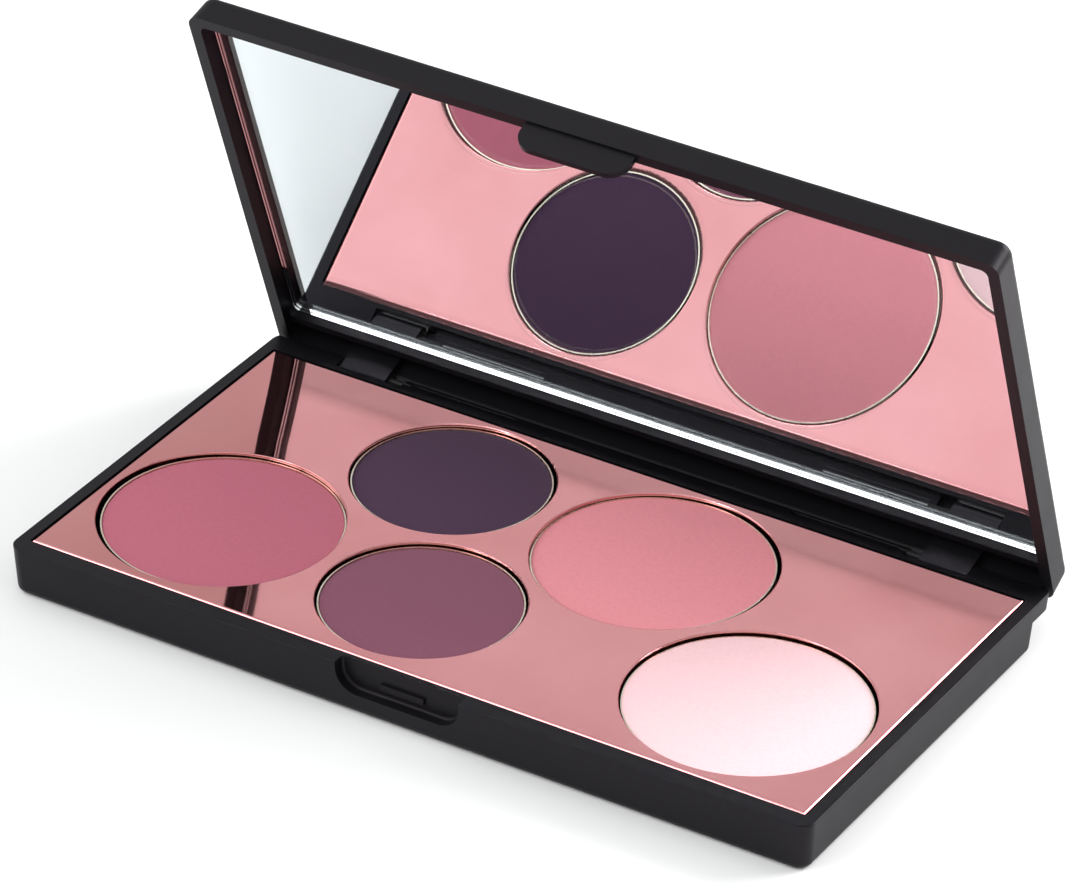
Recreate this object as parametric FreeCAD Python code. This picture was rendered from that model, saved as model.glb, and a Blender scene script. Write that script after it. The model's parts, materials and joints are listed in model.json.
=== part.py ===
import FreeCAD, Part
import math
import os

from FreeCAD import Vector

# Eyeshadow palette: a shallow hinged case.  The base holds a metallised plate
# with five round metal pans of pressed powder, and the lid holds a mirror.
# Millimetres, +Z up, X to the right, Y to the rear.  The origin is the centre
# of the flat underside of the base.
# The lid and what it carries are drawn shut, then turned open about the hinge.

os.makedirs("parts", exist_ok=True)

# ---- case ----
case_width = 135.0
case_front = -36.75        # front face of base and lid
corner_radius = 2.2
half_width = case_width / 2

# ---- base ----
base_height = 8.0
base_draft = 0.5           # every wall leans in by this much at the underside
base_bottom_round = 1.2
base_rear = 32.7           # outer face of the rear wall under the ledge
floor = 1.5
wall_side = 2.0            # width of the rim beside the plate
wall_front = 2.9
rim_corner = 0.4
rim_round = 0.2            # the rim's outer edge is softened by this much
shelf = 1.5                # ledge inside the rim that the plate rests on
plate_rear = 32.0          # rear edge of the opening for the plate

# ---- hinge ----
hinge_y = 35.45
hinge_z = 6.7
barrel_radius = 1.38       # half-round rear end of the base ledge
barrel_rear = hinge_y + barrel_radius
lug_radius = 1.25
lug_toe = 0.95             # the arms reach this far past the pin and fill the notches
pin_radius = 0.6
pin_press = 0.01           # the base holes are this much tighter than the pin
lug_clearance = 0.05       # and the lug bores this much looser
pin_inner = 42.5
pin_outer = 60.0
lug_inner = 46.5
lug_outer = 54.7
notch_inner = 43.9
notch_outer = 54.9
notch_front = 33.1
web_top = 5.9              # a web closes the bottom of each notch beside the arm
web_gap = 0.2              # arm to web
channel_drop = 0.8         # the ledge is this much lower between the notches
channel_round = 0.85
groove_inner = 24.0        # the pins are laid in from below here and pushed outwards
open_angle = 69.4          # opening angle of the lid as drawn

# ---- plate with five holes ----
plate_thickness = 1.0
plate_gap = 0.25
plate_round = 0.45
large_hole = 18.6
small_hole = 15.6
wells = [
    # centre x, centre y, hole radius, and how far the pan sits off the centre
    (-45.3, -13.3, large_hole, 0.27, 0.16),
    (-8.7, -15.95, small_hole, 0.0, 0.0),
    (-22.4, 14.9, small_hole, -0.17, 0.04),
    (14.5, 11.8, large_hole, -0.3, 0.0),
    (44.75, -13.5, large_hole, -0.02, -0.12),
]
pegs = [(-52.0, 22.0), (-28.0, -30.0), (17.0, -26.0), (56.0, 22.0)]
peg_radius = 1.0
peg_length = 3.0
peg_clearance = 0.05
post_radius = 2.4
ring_wall = 1.5            # wall of the well under each hole
ring_clearance = 0.1

# ---- pans and powders ----
pan_gap = 0.38             # pan to hole
pan_top = 7.4
pan_bottom = 3.2
pan_wall = 0.22
pan_round = 0.8
powder_gap = 0.02
powder_edge = 7.2
powder_crown = 0.12        # the middle of the powder stands this much higher
powder_edge_round = 0.3
pad_thickness = 0.3
pad_radius = 5.5
seat_width = 2.5

# ---- thumb recess and lid tongue ----
recess_half = 10.4
recess_back = -34.7
recess_low = 3.3
recess_round = 3.6
recess_fillet = 0.5        # where its back wall turns into its floor
nub_half = 3.65
nub_low = 4.6
nub_high = 5.6
nub_depth = 0.45
tongue_half = 9.2
tongue_front = -36.3
tongue_thickness = 0.9
tongue_low = 3.55
tongue_round = 3.2
bead_half = 3.0
bead_depth = 0.15
bead_low = 3.95
bead_high = 4.35

# ---- lid ----
lid_low = 8.15             # rim plane when shut
lid_high = 13.3
lid_rear = 37.25
lid_draft = 0.25
lid_top_round = 1.3
lid_wall = 1.9
lid_corner = 1.2
rib_low = 9.5              # the rib behind the mirror ends here
rib_thickness = 1.3
rib_round = 0.35
slot_top = 11.9            # depth of the slot between the rib and the rear wall
mirror_face = 10.8
mirror_rear = 31.0
mirror_corner = 1.0
mirror_gap = 0.2
glass_thickness = 1.1
silver_thickness = 0.1
tape_thickness = 0.2
tape_inset = 5.0

# ---- label under the base ----
label_half_x = 28.0
label_half_y = 12.0
label_pocket = 0.25
label_thickness = 0.1
label_gap = 0.3


def box(x0, x1, y0, y1, z0, z1):
    return Part.makeBox(x1 - x0, y1 - y0, z1 - z0, Vector(x0, y0, z0))


def cylinder_z(x, y, radius, z0, z1):
    return Part.makeCylinder(radius, z1 - z0, Vector(x, y, z0))


def cylinder_x(y, z, radius, x0, x1):
    return Part.makeCylinder(radius, x1 - x0, Vector(x0, y, z), Vector(1, 0, 0))


def corner_arc(cx, cy, radius, start, z):
    """A quarter arc of a rounded rectangle, starting at an angle in degrees."""
    points = []
    for step in (0, 45, 90):
        angle = math.radians(start + step)
        x = cx + radius * math.cos(angle)
        y = cy + radius * math.sin(angle)
        points.append(Vector(x, y, z))
    return Part.Arc(points[0], points[1], points[2]).toShape()


def outline(x0, x1, y0, y1, radius, z):
    """A closed rounded rectangle at height z, drawn anticlockwise."""
    r = radius
    edges = [
        Part.makeLine(Vector(x0 + r, y0, z), Vector(x1 - r, y0, z)),
        corner_arc(x1 - r, y0 + r, r, 270, z),
        Part.makeLine(Vector(x1, y0 + r, z), Vector(x1, y1 - r, z)),
        corner_arc(x1 - r, y1 - r, r, 0, z),
        Part.makeLine(Vector(x1 - r, y1, z), Vector(x0 + r, y1, z)),
        corner_arc(x0 + r, y1 - r, r, 90, z),
        Part.makeLine(Vector(x0, y1 - r, z), Vector(x0, y0 + r, z)),
        corner_arc(x0 + r, y0 + r, r, 180, z),
    ]
    return Part.Wire(edges)


def rounded_block(x0, x1, y0, y1, z0, z1, radius):
    face = Part.Face(outline(x0, x1, y0, y1, radius, z0))
    return face.extrude(Vector(0, 0, z1 - z0))


def drafted_block(x0, x1, y0, y1, z0, z1, radius, inset_low, inset_high):
    """A rounded block whose walls lean: each end is inset by its own amount."""
    a = inset_low
    b = inset_high
    low = outline(x0 + a, x1 - a, y0 + a, y1 - a, radius, z0)
    high = outline(x0 + b, x1 - b, y0 + b, y1 - b, radius, z1)
    return Part.makeLoft([low, high], True, True)


def edges_at(shape, z):
    """Edges that lie flat at height z."""
    found = []
    for edge in shape.Edges:
        bounds = edge.BoundBox
        if abs(bounds.ZMin - z) < 1e-4 and abs(bounds.ZMax - z) < 1e-4:
            found.append(edge)
    return found


def shield(half, low, high, radius, y0, y1):
    """A plate in the XZ plane with two rounded lower corners."""
    r = radius
    turn = r * math.sqrt(0.5)
    left_mid = Vector(-half + r - turn, y0, low + r - turn)
    right_mid = Vector(half - r + turn, y0, low + r - turn)
    left_arc = Part.Arc(Vector(-half, y0, low + r), left_mid, Vector(-half + r, y0, low))
    right_arc = Part.Arc(Vector(half - r, y0, low), right_mid, Vector(half, y0, low + r))
    edges = [
        Part.makeLine(Vector(-half, y0, high), Vector(-half, y0, low + r)),
        left_arc.toShape(),
        Part.makeLine(Vector(-half + r, y0, low), Vector(half - r, y0, low)),
        right_arc.toShape(),
        Part.makeLine(Vector(half, y0, low + r), Vector(half, y0, high)),
        Part.makeLine(Vector(half, y0, high), Vector(-half, y0, high)),
    ]
    return Part.Face(Part.Wire(edges)).extrude(Vector(0, y1 - y0, 0))


def opened(shape):
    """Turn a piece of the lid from shut to the drawn opening angle."""
    turned = shape.copy()
    turned.rotate(Vector(0, hinge_y, hinge_z), Vector(1, 0, 0), -open_angle)
    return turned


def save(shape, name):
    shape.exportStep("parts/" + name + ".step")


def ledge():
    """The rear ledge: a slab that ends in a half-round barrel, with rounded ends."""
    low = hinge_z - barrel_radius
    x = half_width
    slab = box(-x, x, base_rear - 3, hinge_y, low, base_height)
    barrel = cylinder_x(hinge_y, hinge_z, barrel_radius, -x, x)
    limits = drafted_block(-x, x, case_front, barrel_rear + base_draft / 4, 0, base_height,
                           corner_radius, base_draft, 0)
    return slab.fuse(barrel).removeSplitter().common(limits)


def channel():
    """The space above the lower middle of the ledge, with its rounded rear edge."""
    top = base_height - channel_drop
    rear = barrel_rear + 1
    over = box(-notch_inner, notch_inner, notch_front, rear, top, base_height + 1)
    low = hinge_z - barrel_radius - 0.1
    r = channel_round
    strip = box(-notch_inner, notch_inner, barrel_rear - r, rear, low, top)
    nose = cylinder_x(barrel_rear - r, top - r, r, -notch_inner, notch_inner)
    below = box(-notch_inner, notch_inner, barrel_rear - r, barrel_rear, low, top - r)
    return over.fuse(strip.cut(nose).cut(below))


def well_rings():
    """The walls around the pans, their raised seats and the pad bosses."""
    parts = []
    for x, y, hole, dx, dy in wells:
        top = base_height - plate_thickness
        outer = cylinder_z(x, y, hole + ring_wall, floor - 0.1, top)
        parts.append(outer)
    solid = parts[0]
    for part in parts[1:]:
        solid = solid.fuse(part)
    for x, y, hole, dx, dy in wells:
        solid = solid.cut(cylinder_z(x, y, hole + ring_clearance, floor, base_height))
    for x, y, hole, dx, dy in wells:
        inner = hole - pan_gap - seat_width
        seat = cylinder_z(x, y, hole + ring_clearance + 0.3, floor - 0.1, pan_bottom)
        seat = seat.cut(cylinder_z(x, y, inner, floor - 0.2, pan_bottom + 1))
        boss = cylinder_z(x, y, pad_radius + 1, floor - 0.1, pan_bottom - pad_thickness)
        solid = solid.fuse(seat).fuse(boss)
    return solid


def make_base_shell():
    x = half_width
    body = drafted_block(-x, x, case_front, base_rear, 0, base_height,
                         corner_radius, base_draft, 0)
    body = body.makeFillet(base_bottom_round, edges_at(body, 0))
    body = body.fuse(ledge()).removeSplitter()
    rim = [edge for edge in edges_at(body, base_height) if edge.BoundBox.YMin < plate_rear - 1]
    body = body.makeFillet(rim_round, rim)

    plate_x = half_width - wall_side
    plate_front = case_front + wall_front
    plate_low = base_height - plate_thickness
    body = body.cut(rounded_block(-plate_x, plate_x, plate_front, plate_rear,
                                  plate_low, base_height + 1, rim_corner))
    room_x = plate_x - shelf
    room = rounded_block(-room_x, room_x, plate_front + shelf, plate_rear - shelf,
                         floor, base_height, rim_corner)
    body = body.cut(room)

    inside = rounded_block(-plate_x - 0.5, plate_x + 0.5, plate_front - 0.5,
                           plate_rear - 0.1, floor - 0.1, plate_low, rim_corner)
    rings = well_rings().common(inside)
    body = body.fuse(rings)
    for cx, cy, hole, dx, dy in wells:
        body = body.cut(cylinder_z(cx, cy, hole + ring_clearance, pan_bottom, base_height))
    for cx, cy in pegs:
        body = body.fuse(cylinder_z(cx, cy, post_radius, floor - 0.1, plate_low))
        bore = peg_radius + peg_clearance
        bore_low = plate_low - peg_length - 0.5
        body = body.cut(cylinder_z(cx, cy, bore, bore_low, base_height))

    scoop = shield(recess_half, recess_low, base_height + 1, recess_round,
                   case_front - 1, recess_back)
    deepest = [edge for edge in scoop.Edges if edge.BoundBox.YMin > recess_back - 0.01
               and edge.BoundBox.ZMin < base_height]
    body = body.cut(scoop.makeFillet(recess_fillet, deepest))
    nub = box(-nub_half, nub_half, recess_back - nub_depth, recess_back + 0.3,
              nub_low, nub_high)
    body = body.fuse(nub)

    body = body.cut(channel())
    low = hinge_z - barrel_radius - 1
    hole = pin_radius - pin_press
    for side in (-1, 1):
        web_end = lug_inner - web_gap
        a = min(side * web_end, side * notch_outer)
        b = max(side * web_end, side * notch_outer)
        body = body.cut(box(a, b, notch_front, barrel_rear + 1, low, base_height + 1))
        a = min(side * notch_inner, side * web_end)
        b = max(side * notch_inner, side * web_end)
        body = body.cut(box(a, b, notch_front, barrel_rear + 1, web_top, base_height + 1))
        a = min(side * groove_inner, side * (pin_outer + 0.5))
        b = max(side * groove_inner, side * (pin_outer + 0.5))
        body = body.cut(cylinder_x(hinge_y, hinge_z, hole, a, b))
        a = min(side * groove_inner, side * notch_inner)
        b = max(side * groove_inner, side * notch_inner)
        body = body.cut(box(a, b, hinge_y - hole, hinge_y + hole, low, hinge_z))

    pocket = rounded_block(-label_half_x, label_half_x, -label_half_y, label_half_y,
                           -1, label_pocket, 2.0)
    return body.cut(pocket).removeSplitter()


def make_insert_plate():
    x = half_width - wall_side - plate_gap
    front = case_front + wall_front + plate_gap
    rear = plate_rear - plate_gap
    low = base_height - plate_thickness
    plate = box(-x, x, front, rear, low, base_height)
    plate = plate.makeFillet(plate_round, edges_at(plate, base_height))
    for cx, cy, hole, dx, dy in wells:
        plate = plate.cut(cylinder_z(cx, cy, hole, low - 1, base_height + 1))
    rims = []
    for edge in edges_at(plate, base_height):
        if edge.Curve.TypeId == "Part::GeomCircle" and edge.Curve.Radius > 10:
            rims.append(edge)
    plate = plate.makeFillet(0.2, rims)
    for cx, cy in pegs:
        plate = plate.fuse(cylinder_z(cx, cy, peg_radius, low - peg_length, low + 0.1))
    return plate


def make_pan(hole):
    radius = hole - pan_gap
    pan = cylinder_z(0, 0, radius, pan_bottom, pan_top)
    pan = pan.makeFillet(pan_round, edges_at(pan, pan_bottom))
    inner = cylinder_z(0, 0, radius - pan_wall, pan_bottom + pan_wall, pan_top + 1)
    inner = inner.makeFillet(pan_round - pan_wall, edges_at(inner, pan_bottom + pan_wall))
    return pan.cut(inner)


def make_powder(hole):
    """Pressed powder that fills its pan, with a slightly crowned top."""
    radius = hole - pan_gap - pan_wall - powder_gap
    low = pan_bottom + pan_wall
    foot = pan_round - pan_wall
    ball = (radius * radius + powder_crown * powder_crown) / (2 * powder_crown)
    angle = math.asin(radius / ball) / 2
    top = powder_edge + powder_crown
    mid = Vector(ball * math.sin(angle), 0, top - ball * (1 - math.cos(angle)))
    crown = Part.Arc(Vector(0, 0, top), mid, Vector(radius, 0, powder_edge))
    edges = [
        Part.makeLine(Vector(0, 0, low), Vector(radius - foot, 0, low)),
        Part.makeLine(Vector(radius - foot, 0, low), Vector(radius, 0, low + foot)),
        Part.makeLine(Vector(radius, 0, low + foot), Vector(radius, 0, powder_edge)),
        crown.toShape(),
        Part.makeLine(Vector(0, 0, top), Vector(0, 0, low)),
    ]
    profile = Part.Face(Part.Wire(Part.__sortEdges__(edges)))
    return profile.revolve(Vector(0, 0, 0), Vector(0, 0, 1), 360)


def make_pad():
    return cylinder_z(0, 0, pad_radius, pan_bottom - pad_thickness, pan_bottom)


def make_pin(side):
    a = min(side * pin_inner, side * pin_outer)
    b = max(side * pin_inner, side * pin_outer)
    pin = cylinder_x(hinge_y, hinge_z, pin_radius, a, b)
    ends = [edge for edge in pin.Edges if edge.Closed]
    return pin.makeChamfer(0.15, ends)


def make_lug(side):
    """A short arm that drops from the lid's rear wall into the base notch."""
    a = min(side * lug_inner, side * lug_outer)
    b = max(side * lug_inner, side * lug_outer)
    front = hinge_y - lug_radius
    toe = cylinder_x(hinge_y, hinge_z - lug_toe, lug_radius, a, b)
    arm = box(a, b, front, hinge_y + lug_radius, hinge_z - lug_toe, lid_low + 0.5)
    root = box(a, b, front, lid_rear - lid_wall + 0.2, lid_low, slot_top + 0.2)
    return toe.fuse(arm).fuse(root)


def make_lid_shell():
    x = half_width
    shell = drafted_block(-x, x, case_front, lid_rear, lid_low, lid_high,
                          corner_radius, 0, lid_draft)
    shell = shell.makeFillet(lid_top_round, edges_at(shell, lid_high))
    room_x = half_width - lid_wall
    front = case_front + lid_wall
    rear = lid_rear - lid_wall
    rib_front = mirror_rear + mirror_gap
    rib_rear = rib_front + rib_thickness
    pocket_top = mirror_face + glass_thickness + silver_thickness + tape_thickness
    room = rounded_block(-room_x, room_x, front, rear, lid_low - 1, pocket_top, lid_corner)
    rib = box(-room_x - 1, room_x + 1, rib_front, rib_rear, rib_low, pocket_top + 1)
    rib = rib.makeFillet(rib_round, edges_at(rib, rib_low)[:2])
    behind = box(-room_x - 1, room_x + 1, rib_rear - 0.1, rear + 1, slot_top, pocket_top + 1)
    corners = box(-room_x - 1, room_x + 1, rib_front - lid_corner, rib_front, rib_low,
                  pocket_top + 1)
    pocket = rounded_block(-room_x, room_x, front, rib_front, lid_low - 1,
                           pocket_top + 2, lid_corner)
    shell = shell.cut(room.cut(rib).cut(behind).cut(corners.cut(pocket)))
    for side in (-1, 1):
        shell = shell.fuse(make_lug(side))
        bore = pin_radius + lug_clearance
        a = min(side * (lug_inner - 1), side * (lug_outer + 1))
        b = max(side * (lug_inner - 1), side * (lug_outer + 1))
        shell = shell.cut(cylinder_x(hinge_y, hinge_z, bore, a, b))
    back = tongue_front + tongue_thickness
    tongue = shield(tongue_half, tongue_low, lid_low + 1, tongue_round,
                    tongue_front, back)
    bead = box(-bead_half, bead_half, back - 0.3, back + bead_depth,
               bead_low, bead_high)
    return shell.fuse(tongue).fuse(bead).removeSplitter()


def mirror_layer(inset, thickness, low):
    """One layer of the mirror, inset from the edge of the glass."""
    x = half_width - lid_wall - mirror_gap - inset
    front = case_front + lid_wall + mirror_gap + inset
    rear = mirror_rear - inset
    return rounded_block(-x, x, front, rear, low, low + thickness, mirror_corner)


def make_label():
    half_x = label_half_x - label_gap
    half_y = label_half_y - label_gap
    low = label_pocket - label_thickness
    return rounded_block(-half_x, half_x, -half_y, half_y, low, label_pocket, 1.7)


save(make_base_shell(), "base_shell")
save(make_insert_plate(), "insert_plate")
save(make_label(), "underside_label")
for number, (x, y, hole, dx, dy) in enumerate(wells, 1):
    place = Vector(x + dx, y + dy, 0)
    save(make_pan(hole).translated(place), "pan_" + str(number))
    save(make_powder(hole).translated(place), "powder_" + str(number))
    save(make_pad().translated(place), "pan_pad_" + str(number))
save(make_pin(-1), "hinge_pin_left")
save(make_pin(1), "hinge_pin_right")

silver_low = mirror_face + glass_thickness
tape_low = silver_low + silver_thickness
save(opened(make_lid_shell()), "lid_shell")
save(opened(mirror_layer(0, glass_thickness, mirror_face)), "mirror_glass")
save(opened(mirror_layer(0.15, silver_thickness, silver_low)), "mirror_silvering")
save(opened(mirror_layer(tape_inset, tape_thickness, tape_low)), "mirror_tape")
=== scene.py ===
import json
import math

import bmesh
import bpy
from mathutils import Matrix, Vector, noise


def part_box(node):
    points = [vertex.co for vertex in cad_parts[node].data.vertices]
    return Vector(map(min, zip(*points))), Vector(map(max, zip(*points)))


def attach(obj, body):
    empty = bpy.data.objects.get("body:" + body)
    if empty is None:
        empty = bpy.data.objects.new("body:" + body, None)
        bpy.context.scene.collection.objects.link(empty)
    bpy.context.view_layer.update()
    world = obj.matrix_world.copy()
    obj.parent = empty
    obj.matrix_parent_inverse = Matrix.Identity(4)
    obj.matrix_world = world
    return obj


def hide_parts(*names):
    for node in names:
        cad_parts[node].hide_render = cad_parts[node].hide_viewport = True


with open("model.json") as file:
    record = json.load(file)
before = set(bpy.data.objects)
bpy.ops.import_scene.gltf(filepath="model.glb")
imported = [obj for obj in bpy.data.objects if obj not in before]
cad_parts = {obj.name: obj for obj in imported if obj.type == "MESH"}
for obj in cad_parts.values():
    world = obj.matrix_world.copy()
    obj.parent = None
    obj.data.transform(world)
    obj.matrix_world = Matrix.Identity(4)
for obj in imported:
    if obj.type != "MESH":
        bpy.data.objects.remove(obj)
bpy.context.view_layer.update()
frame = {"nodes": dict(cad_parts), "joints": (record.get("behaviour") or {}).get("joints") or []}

# The palette stands open on a pale floor.  Everything is in metres in the
# frame's own axes: X to the right, Y to the rear, Z up.
MM = 0.001

# ---- camera: its aim, and how it looks at it ----
AIM = Vector((2.4, -1.4, 30.7)) * MM
AZIMUTH = math.radians(-30.41)
ELEVATION = math.radians(31.53)
ROLL = math.radians(1.40)
DISTANCE = 1.008
LENS = 232.28
SHIFT_X = -0.0015
SHIFT_Y = 0.0007

# ---- powders: colour, how strong the cloth's mark is, and how far each one
# stands up and spreads over the rim of its pan ----
POWDERS = {
    "powder_1": ((0.510, 0.133, 0.191), 0.5, 0.0),
    "powder_2": ((0.243, 0.079, 0.130), 0.6, 0.0),
    "powder_3": ((0.067, 0.027, 0.067), 1.0, 0.0),
    "powder_4": ((0.930, 0.325, 0.375), 0.4, 0.12 * MM),
    "powder_5": ((0.970, 0.625, 0.655), 0.4, 0.20 * MM),
}
POWDER_CONTRAST = 0.05
POWDER_CROWN = 0.12 * MM       # the middle stands this much above the edge
POWDER_CHAMFER = 0.10 * MM     # drop of the worn edge
POWDER_RINGS = 26
RING_CROWDING = 1.6            # rings lie closer together towards the edge
POWDER_SECTORS = 120
CRUMBLE_DEPTH = 0.10 * MM
CRUMBLE_SIZE = 1.1 * MM
CRUMBLE_START = 0.9            # share of the radius where the crumbled edge begins

# ---- plate: it bows up over this length before its rear edge, to this slope ----
BOW_LENGTH = 22 * MM
BOW_SLOPE = 0.065

# ---- mirror glass ----
GLASS_BEVEL = 0.06 * MM
GLASS_LIFT = 0.03 * MM         # keeps the back of the glass off the silvering
SAME_HEIGHT = 0.01 * MM
SHARP_EDGE = 1.0               # radians between the faces of an edge that gets the bevel

# ---- studio: strength at the horizon and overhead, how much is added towards the
# left and the front, and the least there is anywhere ----
WORLD_HORIZON = 0.55
WORLD_ZENITH = 0.94
WORLD_LEFT = 0.12
WORLD_FRONT = 0.18
WORLD_LEAST = 0.3

# ---- lamps: place, what it points at, width, height, watts, colour ----
WHITE = (1.0, 1.0, 1.0)
COOL = (0.8, 1.0, 1.08)
LAMPS = {
    "overhead": ((-0.65, -0.32, 1.32), (0, 0, 0.03), 0.7, 0.7, 0.85, COOL),
    "edge_strip": ((-0.56, -0.74, 0.91), (0, -0.03, 0.0), 0.3, 0.1, 1.5, WHITE),
    "from_front_left": ((-0.86, -1.47, 1.05), (0, 0, 0.03), 0.8, 0.5, 3.8, WHITE),
    "from_left": ((-0.9, -0.2, 0.7), (-0.1, 0, 0), 0.8, 0.6, 2.4, WHITE),
    "from_right": ((0.36, 0.42, 0.30), (0.05, 0.03, 0.0), 0.4, 0.3, 4.3, WHITE),
}

# ---- floor: white out to the first distance, then painted shade turning it pale grey from the second ----
FLOOR_HALF = 6.0
FLOOR_DROP = 0.05 * MM         # the floor lies this far below the case
FLOOR_NEAR = 0.12
FLOOR_FAR = 0.26

nodes = frame["nodes"]


# ---- materials ----

def material(name):
    """A new node material: the material, its tree and its shader."""
    made = bpy.data.materials.new(name)
    made.use_nodes = True
    tree = made.node_tree
    return made, tree, tree.nodes["Principled BSDF"]


def position(tree, scale=(1.0, 1.0, 1.0), angle=0.0):
    """Object coordinates in metres, stretched and turned about Z."""
    where = tree.nodes.new("ShaderNodeTexCoord")
    mapping = tree.nodes.new("ShaderNodeMapping")
    mapping.inputs["Scale"].default_value = scale
    mapping.inputs["Rotation"].default_value = (0.0, 0.0, angle)
    tree.links.new(where.outputs["Object"], mapping.inputs["Vector"])
    return mapping.outputs["Vector"]


def noise_value(tree, vector, scale, detail=3.0, roughness=0.5):
    made = tree.nodes.new("ShaderNodeTexNoise")
    made.inputs["Scale"].default_value = scale
    made.inputs["Detail"].default_value = detail
    made.inputs["Roughness"].default_value = roughness
    tree.links.new(vector, made.inputs["Vector"])
    return made.outputs["Fac"]


def spread(tree, value, low, high):
    """Map a noise value, which keeps near its middle, to low..high."""
    made = tree.nodes.new("ShaderNodeMapRange")
    made.inputs["From Min"].default_value = 0.3
    made.inputs["From Max"].default_value = 0.7
    made.inputs["To Min"].default_value = low
    made.inputs["To Max"].default_value = high
    tree.links.new(value, made.inputs["Value"])
    return made.outputs["Result"]


def maths(tree, operation, first, second):
    """One Math node: a value and a constant."""
    made = tree.nodes.new("ShaderNodeMath")
    made.operation = operation
    tree.links.new(first, made.inputs[0])
    made.inputs[1].default_value = second
    return made.outputs["Value"]


def blend_colours(tree, factor, first, second):
    made = tree.nodes.new("ShaderNodeMix")
    made.data_type = "RGBA"
    made.inputs["A"].default_value = (*first, 1.0)
    made.inputs["B"].default_value = (*second, 1.0)
    tree.links.new(factor, made.inputs["Factor"])
    return made.outputs["Result"]


def add_bump(tree, shader, height, distance, strength, below=None):
    made = tree.nodes.new("ShaderNodeBump")
    made.inputs["Distance"].default_value = distance
    made.inputs["Strength"].default_value = strength
    tree.links.new(height, made.inputs["Height"])
    if below is not None:
        tree.links.new(below, made.inputs["Normal"])
    tree.links.new(made.outputs["Normal"], shader.inputs["Normal"])
    return made.outputs["Normal"]


def black_plastic():
    """Soft-touch black plastic: a fine even grain under a satin sheen."""
    made, tree, shader = material("case_black")
    place = position(tree)
    tone = spread(tree, noise_value(tree, place, 90.0), 0.0, 1.0)
    colour = blend_colours(tree, tone, (0.0047, 0.0045, 0.0056), (0.0055, 0.0052, 0.0064))
    tree.links.new(colour, shader.inputs["Base Color"])
    rough = spread(tree, noise_value(tree, place, 220.0, 4.0), 0.395, 0.425)
    tree.links.new(rough, shader.inputs["Roughness"])
    shader.inputs["Specular IOR Level"].default_value = 0.19
    shader.inputs["Specular Tint"].default_value = (0.97, 0.87, 1.0, 1.0)
    grain = noise_value(tree, place, 5200.0, 2.0)
    add_bump(tree, shader, grain, 0.02 * MM, 0.35)
    return made


def rose_metal():
    """Metallised plate: a bright rose mirror that is not quite flat."""
    made, tree, shader = material("plate_rose")
    place = position(tree)
    tone = spread(tree, noise_value(tree, place, 30.0, 5.0), 0.0, 1.0)
    colour = blend_colours(tree, tone, (0.665, 0.265, 0.268), (0.765, 0.340, 0.344))
    tree.links.new(colour, shader.inputs["Base Color"])
    shader.inputs["Metallic"].default_value = 1.0
    rough = spread(tree, noise_value(tree, place, 160.0, 5.0), 0.03, 0.05)
    tree.links.new(rough, shader.inputs["Roughness"])
    wave = noise_value(tree, place, 38.0, 2.0)
    soft = add_bump(tree, shader, wave, 0.05 * MM, 0.35)
    fine = noise_value(tree, place, 900.0, 2.0)
    grain = add_bump(tree, shader, fine, 0.002 * MM, 0.3, soft)
    add_bump(tree, shader, rear_bow(tree, place), 1.0, 1.0, grain)
    return made


def rear_bow(tree, place):
    """Height of the plate in metres as it bows up slightly towards its rear edge."""
    low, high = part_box("insert_plate")
    start = high.y - BOW_LENGTH
    parts = tree.nodes.new("ShaderNodeSeparateXYZ")
    tree.links.new(place, parts.inputs["Vector"])
    behind = maths(tree, "MAXIMUM", maths(tree, "SUBTRACT", parts.outputs["Y"], start), 0.0)
    squared = maths(tree, "POWER", behind, 2.0)
    return maths(tree, "MULTIPLY", squared, BOW_SLOPE / (2 * BOW_LENGTH))


def pan_metal():
    """Pressed pans: pale champagne metal, drawn and slightly rubbed."""
    made, tree, shader = material("pan_champagne")
    place = position(tree)
    tone = spread(tree, noise_value(tree, place, 400.0), 0.0, 1.0)
    colour = blend_colours(tree, tone, (0.80, 0.70, 0.56), (0.88, 0.79, 0.66))
    tree.links.new(colour, shader.inputs["Base Color"])
    shader.inputs["Metallic"].default_value = 1.0
    rough = spread(tree, noise_value(tree, place, 700.0), 0.22, 0.38)
    tree.links.new(rough, shader.inputs["Roughness"])
    add_bump(tree, shader, noise_value(tree, place, 1500.0), 0.01 * MM, 0.3)
    return made


def powder(name, colour, press):
    """Pressed powder: a fine grain and the faint lines of the pressing cloth."""
    made, tree, shader = material(name + "_pressed")
    place = position(tree)
    darker = [part * (1 - POWDER_CONTRAST) for part in colour]
    lighter = [min(1.0, part * (1 + POWDER_CONTRAST)) for part in colour]
    tone = spread(tree, noise_value(tree, place, 1500.0, 5.0, 0.7), 0.0, 1.0)
    tree.links.new(blend_colours(tree, tone, darker, lighter), shader.inputs["Base Color"])
    shader.inputs["Roughness"].default_value = 0.85
    shader.inputs["Specular IOR Level"].default_value = 0.25
    shader.inputs["Sheen Weight"].default_value = 0.15
    shader.inputs["Sheen Roughness"].default_value = 0.5
    cloth = tree.nodes.new("ShaderNodeTexWave")
    cloth.wave_type = "BANDS"
    cloth.bands_direction = "X"
    cloth.inputs["Scale"].default_value = 700.0
    cloth.inputs["Distortion"].default_value = 1.2
    cloth.inputs["Detail"].default_value = 1.0
    tree.links.new(position(tree, angle=math.radians(38)), cloth.inputs["Vector"])
    lines = add_bump(tree, shader, cloth.outputs["Fac"], 0.012 * MM, 0.35 * press)
    add_bump(tree, shader, noise_value(tree, place, 3000.0, 4.0), 0.03 * MM, 0.5, lines)
    return made


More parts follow.
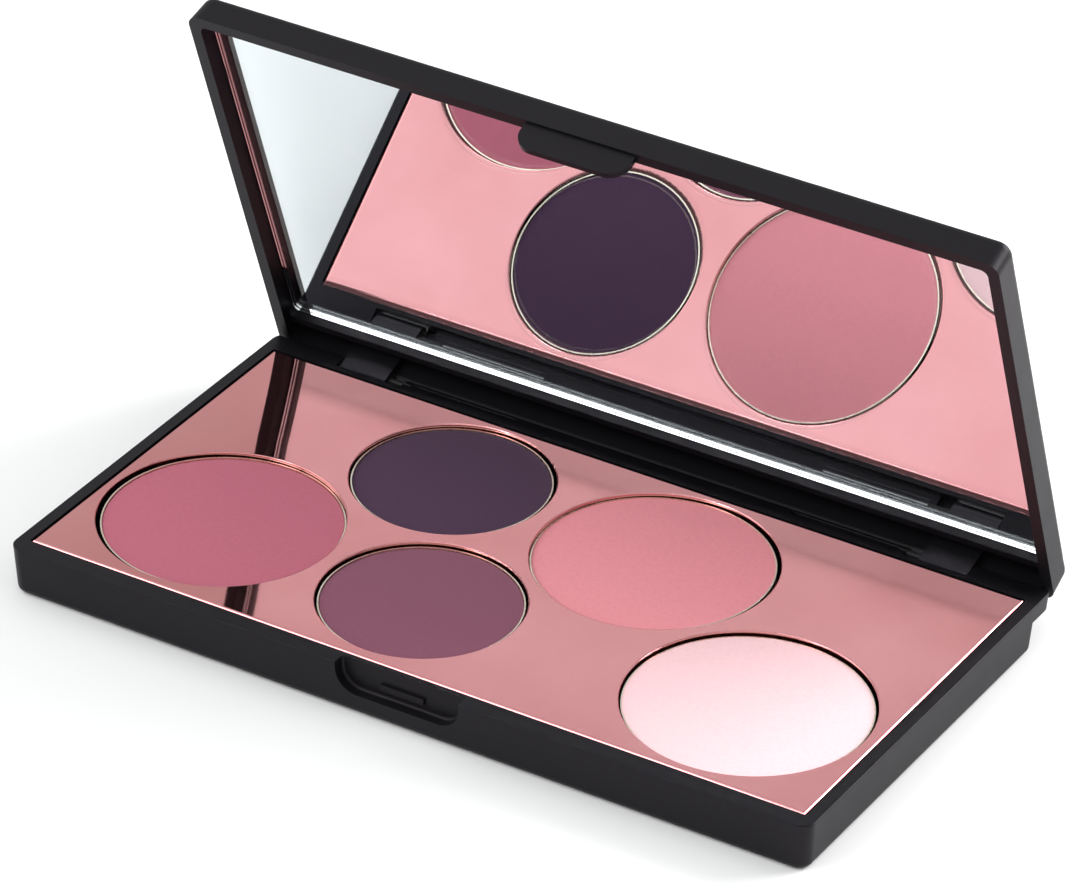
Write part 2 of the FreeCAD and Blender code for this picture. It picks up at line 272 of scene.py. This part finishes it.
def clear_glass():
    made, tree, shader = material("mirror_clear_glass")
    place = position(tree)
    tone = spread(tree, noise_value(tree, place, 30.0), 0.0, 1.0)
    colour = blend_colours(tree, tone, (0.985, 0.995, 0.990), (0.99, 1.0, 0.995))
    tree.links.new(colour, shader.inputs["Base Color"])
    shader.inputs["Roughness"].default_value = 0.0
    shader.inputs["IOR"].default_value = 1.5
    shader.inputs["Transmission Weight"].default_value = 1.0
    return made


def silver():
    made, tree, shader = material("mirror_silver")
    place = position(tree)
    tone = spread(tree, noise_value(tree, place, 60.0), 0.0, 1.0)
    colour = blend_colours(tree, tone, (0.87, 0.915, 0.95), (0.89, 0.935, 0.965))
    tree.links.new(colour, shader.inputs["Base Color"])
    shader.inputs["Metallic"].default_value = 1.0
    shader.inputs["Roughness"].default_value = 0.0
    return made


def steel():
    """Steel under a dull black oxide, drawn along the pin."""
    made, tree, shader = material("pin_steel")
    place = position(tree, (1.0, 30.0, 30.0))
    tone = spread(tree, noise_value(tree, place, 200.0), 0.0, 1.0)
    tree.links.new(blend_colours(tree, tone, (0.010, 0.010, 0.011), (0.016, 0.016, 0.017)),
                   shader.inputs["Base Color"])
    shader.inputs["Specular IOR Level"].default_value = 0.2
    tree.links.new(spread(tree, noise_value(tree, place, 300.0), 0.4, 0.5),
                   shader.inputs["Roughness"])
    return made


def paper():
    """A blank label: matt stock with faint fibres."""
    made, tree, shader = material("label_stock")
    place = position(tree)
    tone = spread(tree, noise_value(tree, place, 900.0, 6.0, 0.7), 0.0, 1.0)
    tree.links.new(blend_colours(tree, tone, (0.74, 0.73, 0.71), (0.82, 0.81, 0.79)),
                   shader.inputs["Base Color"])
    shader.inputs["Roughness"].default_value = 0.7
    add_bump(tree, shader, tone, 0.01 * MM, 0.3)
    return made


def foam():
    """Adhesive tape and pads: pale, slightly mottled."""
    made, tree, shader = material("adhesive_foam")
    place = position(tree)
    tone = spread(tree, noise_value(tree, place, 1200.0, 4.0), 0.0, 1.0)
    tree.links.new(blend_colours(tree, tone, (0.62, 0.61, 0.57), (0.72, 0.71, 0.67)),
                   shader.inputs["Base Color"])
    shader.inputs["Roughness"].default_value = 0.6
    add_bump(tree, shader, tone, 0.02 * MM, 0.4)
    return made


def paint(names, made):
    for name in names:
        nodes[name].data.materials.clear()
        nodes[name].data.materials.append(made)


# ---- pieces built here ----

def show(name, mesh, body, made, smooth=True):
    """Put a finished mesh in the scene on its body."""
    mesh.materials.append(made)
    for face in mesh.polygons:
        face.use_smooth = smooth
    piece = bpy.data.objects.new(name, mesh)
    bpy.context.scene.collection.objects.link(piece)
    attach(piece, body)
    return piece


def circle(centre, radius):
    """Points of a horizontal circle, one for each sector."""
    points = []
    for number in range(POWDER_SECTORS):
        turn = 2 * math.pi * number / POWDER_SECTORS
        points.append((centre.x + radius * math.cos(turn), centre.y + radius * math.sin(turn)))
    return points


def crumble(x, y, share):
    """How much powder is missing here, at this share of the radius."""
    near_edge = max(0.0, share - CRUMBLE_START) / (1 - CRUMBLE_START)
    where = Vector((x, y, 0.0)) / CRUMBLE_SIZE
    return CRUMBLE_DEPTH * near_edge * max(0.0, noise.noise(where) + 0.1)


def powder_cake(name, over_rim):
    """A cake of pressed powder: crowned, with a crumbled edge."""
    low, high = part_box(name)
    centre = (low + high) / 2
    radius = (high.x - low.x) / 2 + over_rim
    crest = high.z + over_rim
    made = bmesh.new()
    top = made.verts.new((centre.x, centre.y, crest))
    profile = []
    for number in range(1, POWDER_RINGS + 1):
        share = 1 - (1 - number / POWDER_RINGS) ** RING_CROWDING
        profile.append((radius * share, POWDER_CROWN * share * share))
    profile[-1] = (radius, POWDER_CROWN + POWDER_CHAMFER)
    rings = []
    for out, drop in profile:
        ring = []
        for x, y in circle(centre, out):
            height = crest - drop - crumble(x, y, out / radius)
            ring.append(made.verts.new((x, y, height)))
        rings.append(ring)
    rings.append([made.verts.new((x, y, low.z)) for x, y in circle(centre, radius)])
    for s in range(POWDER_SECTORS):
        following = (s + 1) % POWDER_SECTORS
        made.faces.new((top, rings[0][s], rings[0][following]))
        for inner, outer in zip(rings, rings[1:]):
            made.faces.new((inner[s], outer[s], outer[following], inner[following]))
    made.faces.new(list(reversed(rings[-1])))
    mesh = bpy.data.meshes.new(name + "_cake")
    made.to_mesh(mesh)
    made.free()
    return mesh


def glass_pane():
    """The mirror's glass, with a small polished bevel round its front face."""
    mesh = nodes["mirror_glass"].data.copy()
    mesh.name = "mirror_glass_pane"
    shaped = bmesh.new()
    shaped.from_mesh(mesh)
    bmesh.ops.remove_doubles(shaped, verts=shaped.verts, dist=1e-7)
    heights = [vertex.co.dot(LID_NORMAL) for vertex in shaped.verts]
    back, front = min(heights), max(heights)
    for vertex in shaped.verts:
        height = vertex.co.dot(LID_NORMAL)
        if height - back < front - height:
            vertex.co += LID_NORMAL * GLASS_LIFT
    bmesh.ops.dissolve_limit(shaped, angle_limit=0.02, verts=shaped.verts, edges=shaped.edges)
    outer = [vertex for vertex in shaped.verts
             if front - vertex.co.dot(LID_NORMAL) < SAME_HEIGHT]
    rims = [edge for edge in shaped.edges
            if edge.calc_face_angle(0.0) > SHARP_EDGE
            and edge.verts[0] in outer and edge.verts[1] in outer]
    bmesh.ops.bevel(shaped, geom=rims, offset=GLASS_BEVEL, segments=2, affect="EDGES")
    shaped.to_mesh(mesh)
    shaped.free()
    mesh.materials.clear()
    return mesh


# ---- the lid's own plane: its normal points out of the mirror ----
opening = math.radians(-frame["joints"][0]["range_deg"][0])
LID_NORMAL = Vector((0.0, -math.sin(opening), -math.cos(opening)))

case = black_plastic()
paint(["base_shell", "lid_shell"], case)
paint(["insert_plate"], rose_metal())
paint(["pan_%d" % n for n in range(1, 6)], pan_metal())
adhesive = foam()
paint(["pan_pad_%d" % n for n in range(1, 6)], adhesive)
paint(["mirror_tape"], adhesive)
paint(["hinge_pin_left", "hinge_pin_right"], steel())
paint(["underside_label"], paper())
paint(["mirror_silvering"], silver())

for name, (colour, press, over_rim) in POWDERS.items():
    cake = show(name + "_cake", powder_cake(name, over_rim), "base",
                powder(name, colour, press))
    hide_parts(name)

glass = show("mirror_glass_pane", glass_pane(), "lid",
             clear_glass(), smooth=False)
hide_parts("mirror_glass")


# ---- stage ----

def stage_floor():
    """A matt floor, white under the case and pale grey farther away; the grey is painted shade.
    """
    made, tree, shader = material("floor_with_painted_shade")
    place = position(tree)
    away = tree.nodes.new("ShaderNodeVectorMath")
    away.operation = "LENGTH"
    tree.links.new(place, away.inputs[0])
    painted_shade_fade = tree.nodes.new("ShaderNodeMapRange")
    painted_shade_fade.interpolation_type = "SMOOTHSTEP"
    painted_shade_fade.inputs["From Min"].default_value = FLOOR_NEAR
    painted_shade_fade.inputs["From Max"].default_value = FLOOR_FAR
    tree.links.new(away.outputs["Value"], painted_shade_fade.inputs["Value"])
    # Painted shade: the floor's colour darkens from white to pale grey with distance from the
    # case.
    colour = blend_colours(tree, painted_shade_fade.outputs["Result"], (0.93, 0.93, 0.93), (0.80, 0.765, 0.77))
    tree.links.new(colour, shader.inputs["Base Color"])
    shader.inputs["Roughness"].default_value = 0.9
    shader.inputs["Specular IOR Level"].default_value = 0.1
    mesh = bpy.data.meshes.new("floor")
    turns = [(-1, -1), (1, -1), (1, 1), (-1, 1)]
    corners = [(x * FLOOR_HALF, y * FLOOR_HALF, -FLOOR_DROP) for x, y in turns]
    mesh.from_pydata(corners, [], [(0, 1, 2, 3)])
    mesh.materials.append(made)
    floor = bpy.data.objects.new("floor", mesh)
    bpy.context.scene.collection.objects.link(floor)


def area_light(name, place, target, width, height, power, colour):
    """A rectangular softbox."""
    lamp = bpy.data.lights.new(name, "AREA")
    lamp.shape = "RECTANGLE"
    lamp.size = width
    lamp.size_y = height
    lamp.energy = power
    lamp.color = colour
    holder = bpy.data.objects.new(name, lamp)
    holder.location = place
    away = Vector(place) - Vector(target)
    holder.rotation_euler = away.to_track_quat("Z", "Y").to_euler()
    bpy.context.scene.collection.objects.link(holder)


def studio_world():
    """A white studio, brighter overhead than at the horizon, and brighter at the
    front and left than at the rear and right."""
    world = bpy.data.worlds.new("studio")
    world.use_nodes = True
    tree = world.node_tree
    back = tree.nodes["Background"]
    back.inputs["Color"].default_value = (1.0, 1.0, 1.0, 1.0)
    where = tree.nodes.new("ShaderNodeTexCoord")
    lean = tree.nodes.new("ShaderNodeVectorMath")
    lean.operation = "DOT_PRODUCT"
    lean.inputs[1].default_value = (-WORLD_LEFT, -WORLD_FRONT, WORLD_ZENITH - WORLD_HORIZON)
    tree.links.new(where.outputs["Generated"], lean.inputs[0])
    lit = maths(tree, "ADD", lean.outputs["Value"], WORLD_HORIZON)
    tree.links.new(maths(tree, "MAXIMUM", lit, WORLD_LEAST), back.inputs["Strength"])
    bpy.context.scene.world = world


def main_camera():
    """The camera: it looks down at the case from the front right, slightly rolled."""
    flat = math.cos(ELEVATION)
    forward = Vector((math.sin(AZIMUTH) * flat, math.cos(AZIMUTH) * flat, -math.sin(ELEVATION)))
    level = forward.cross(Vector((0, 0, 1))).normalized()
    above = level.cross(forward)
    right = level * math.cos(ROLL) + above * math.sin(ROLL)
    up = above * math.cos(ROLL) - level * math.sin(ROLL)
    lens = bpy.data.cameras.new("camera")
    lens.lens = LENS
    lens.sensor_width = 36.0
    lens.shift_x = SHIFT_X
    lens.shift_y = SHIFT_Y
    lens.clip_start = 0.05
    lens.clip_end = 50.0
    camera = bpy.data.objects.new("camera", lens)
    turn = Matrix((right, up, -forward)).transposed()
    camera.matrix_world = Matrix.Translation(AIM - forward * DISTANCE) @ turn.to_4x4()
    bpy.context.scene.collection.objects.link(camera)
    bpy.context.scene.camera = camera


stage_floor()
studio_world()
for name, (place, target, width, height, power, colour) in LAMPS.items():
    area_light(name, place, target, width, height, power, colour)
main_camera()
bpy.context.scene.view_settings.view_transform = "Standard"
bpy.context.scene.view_settings.look = "None"
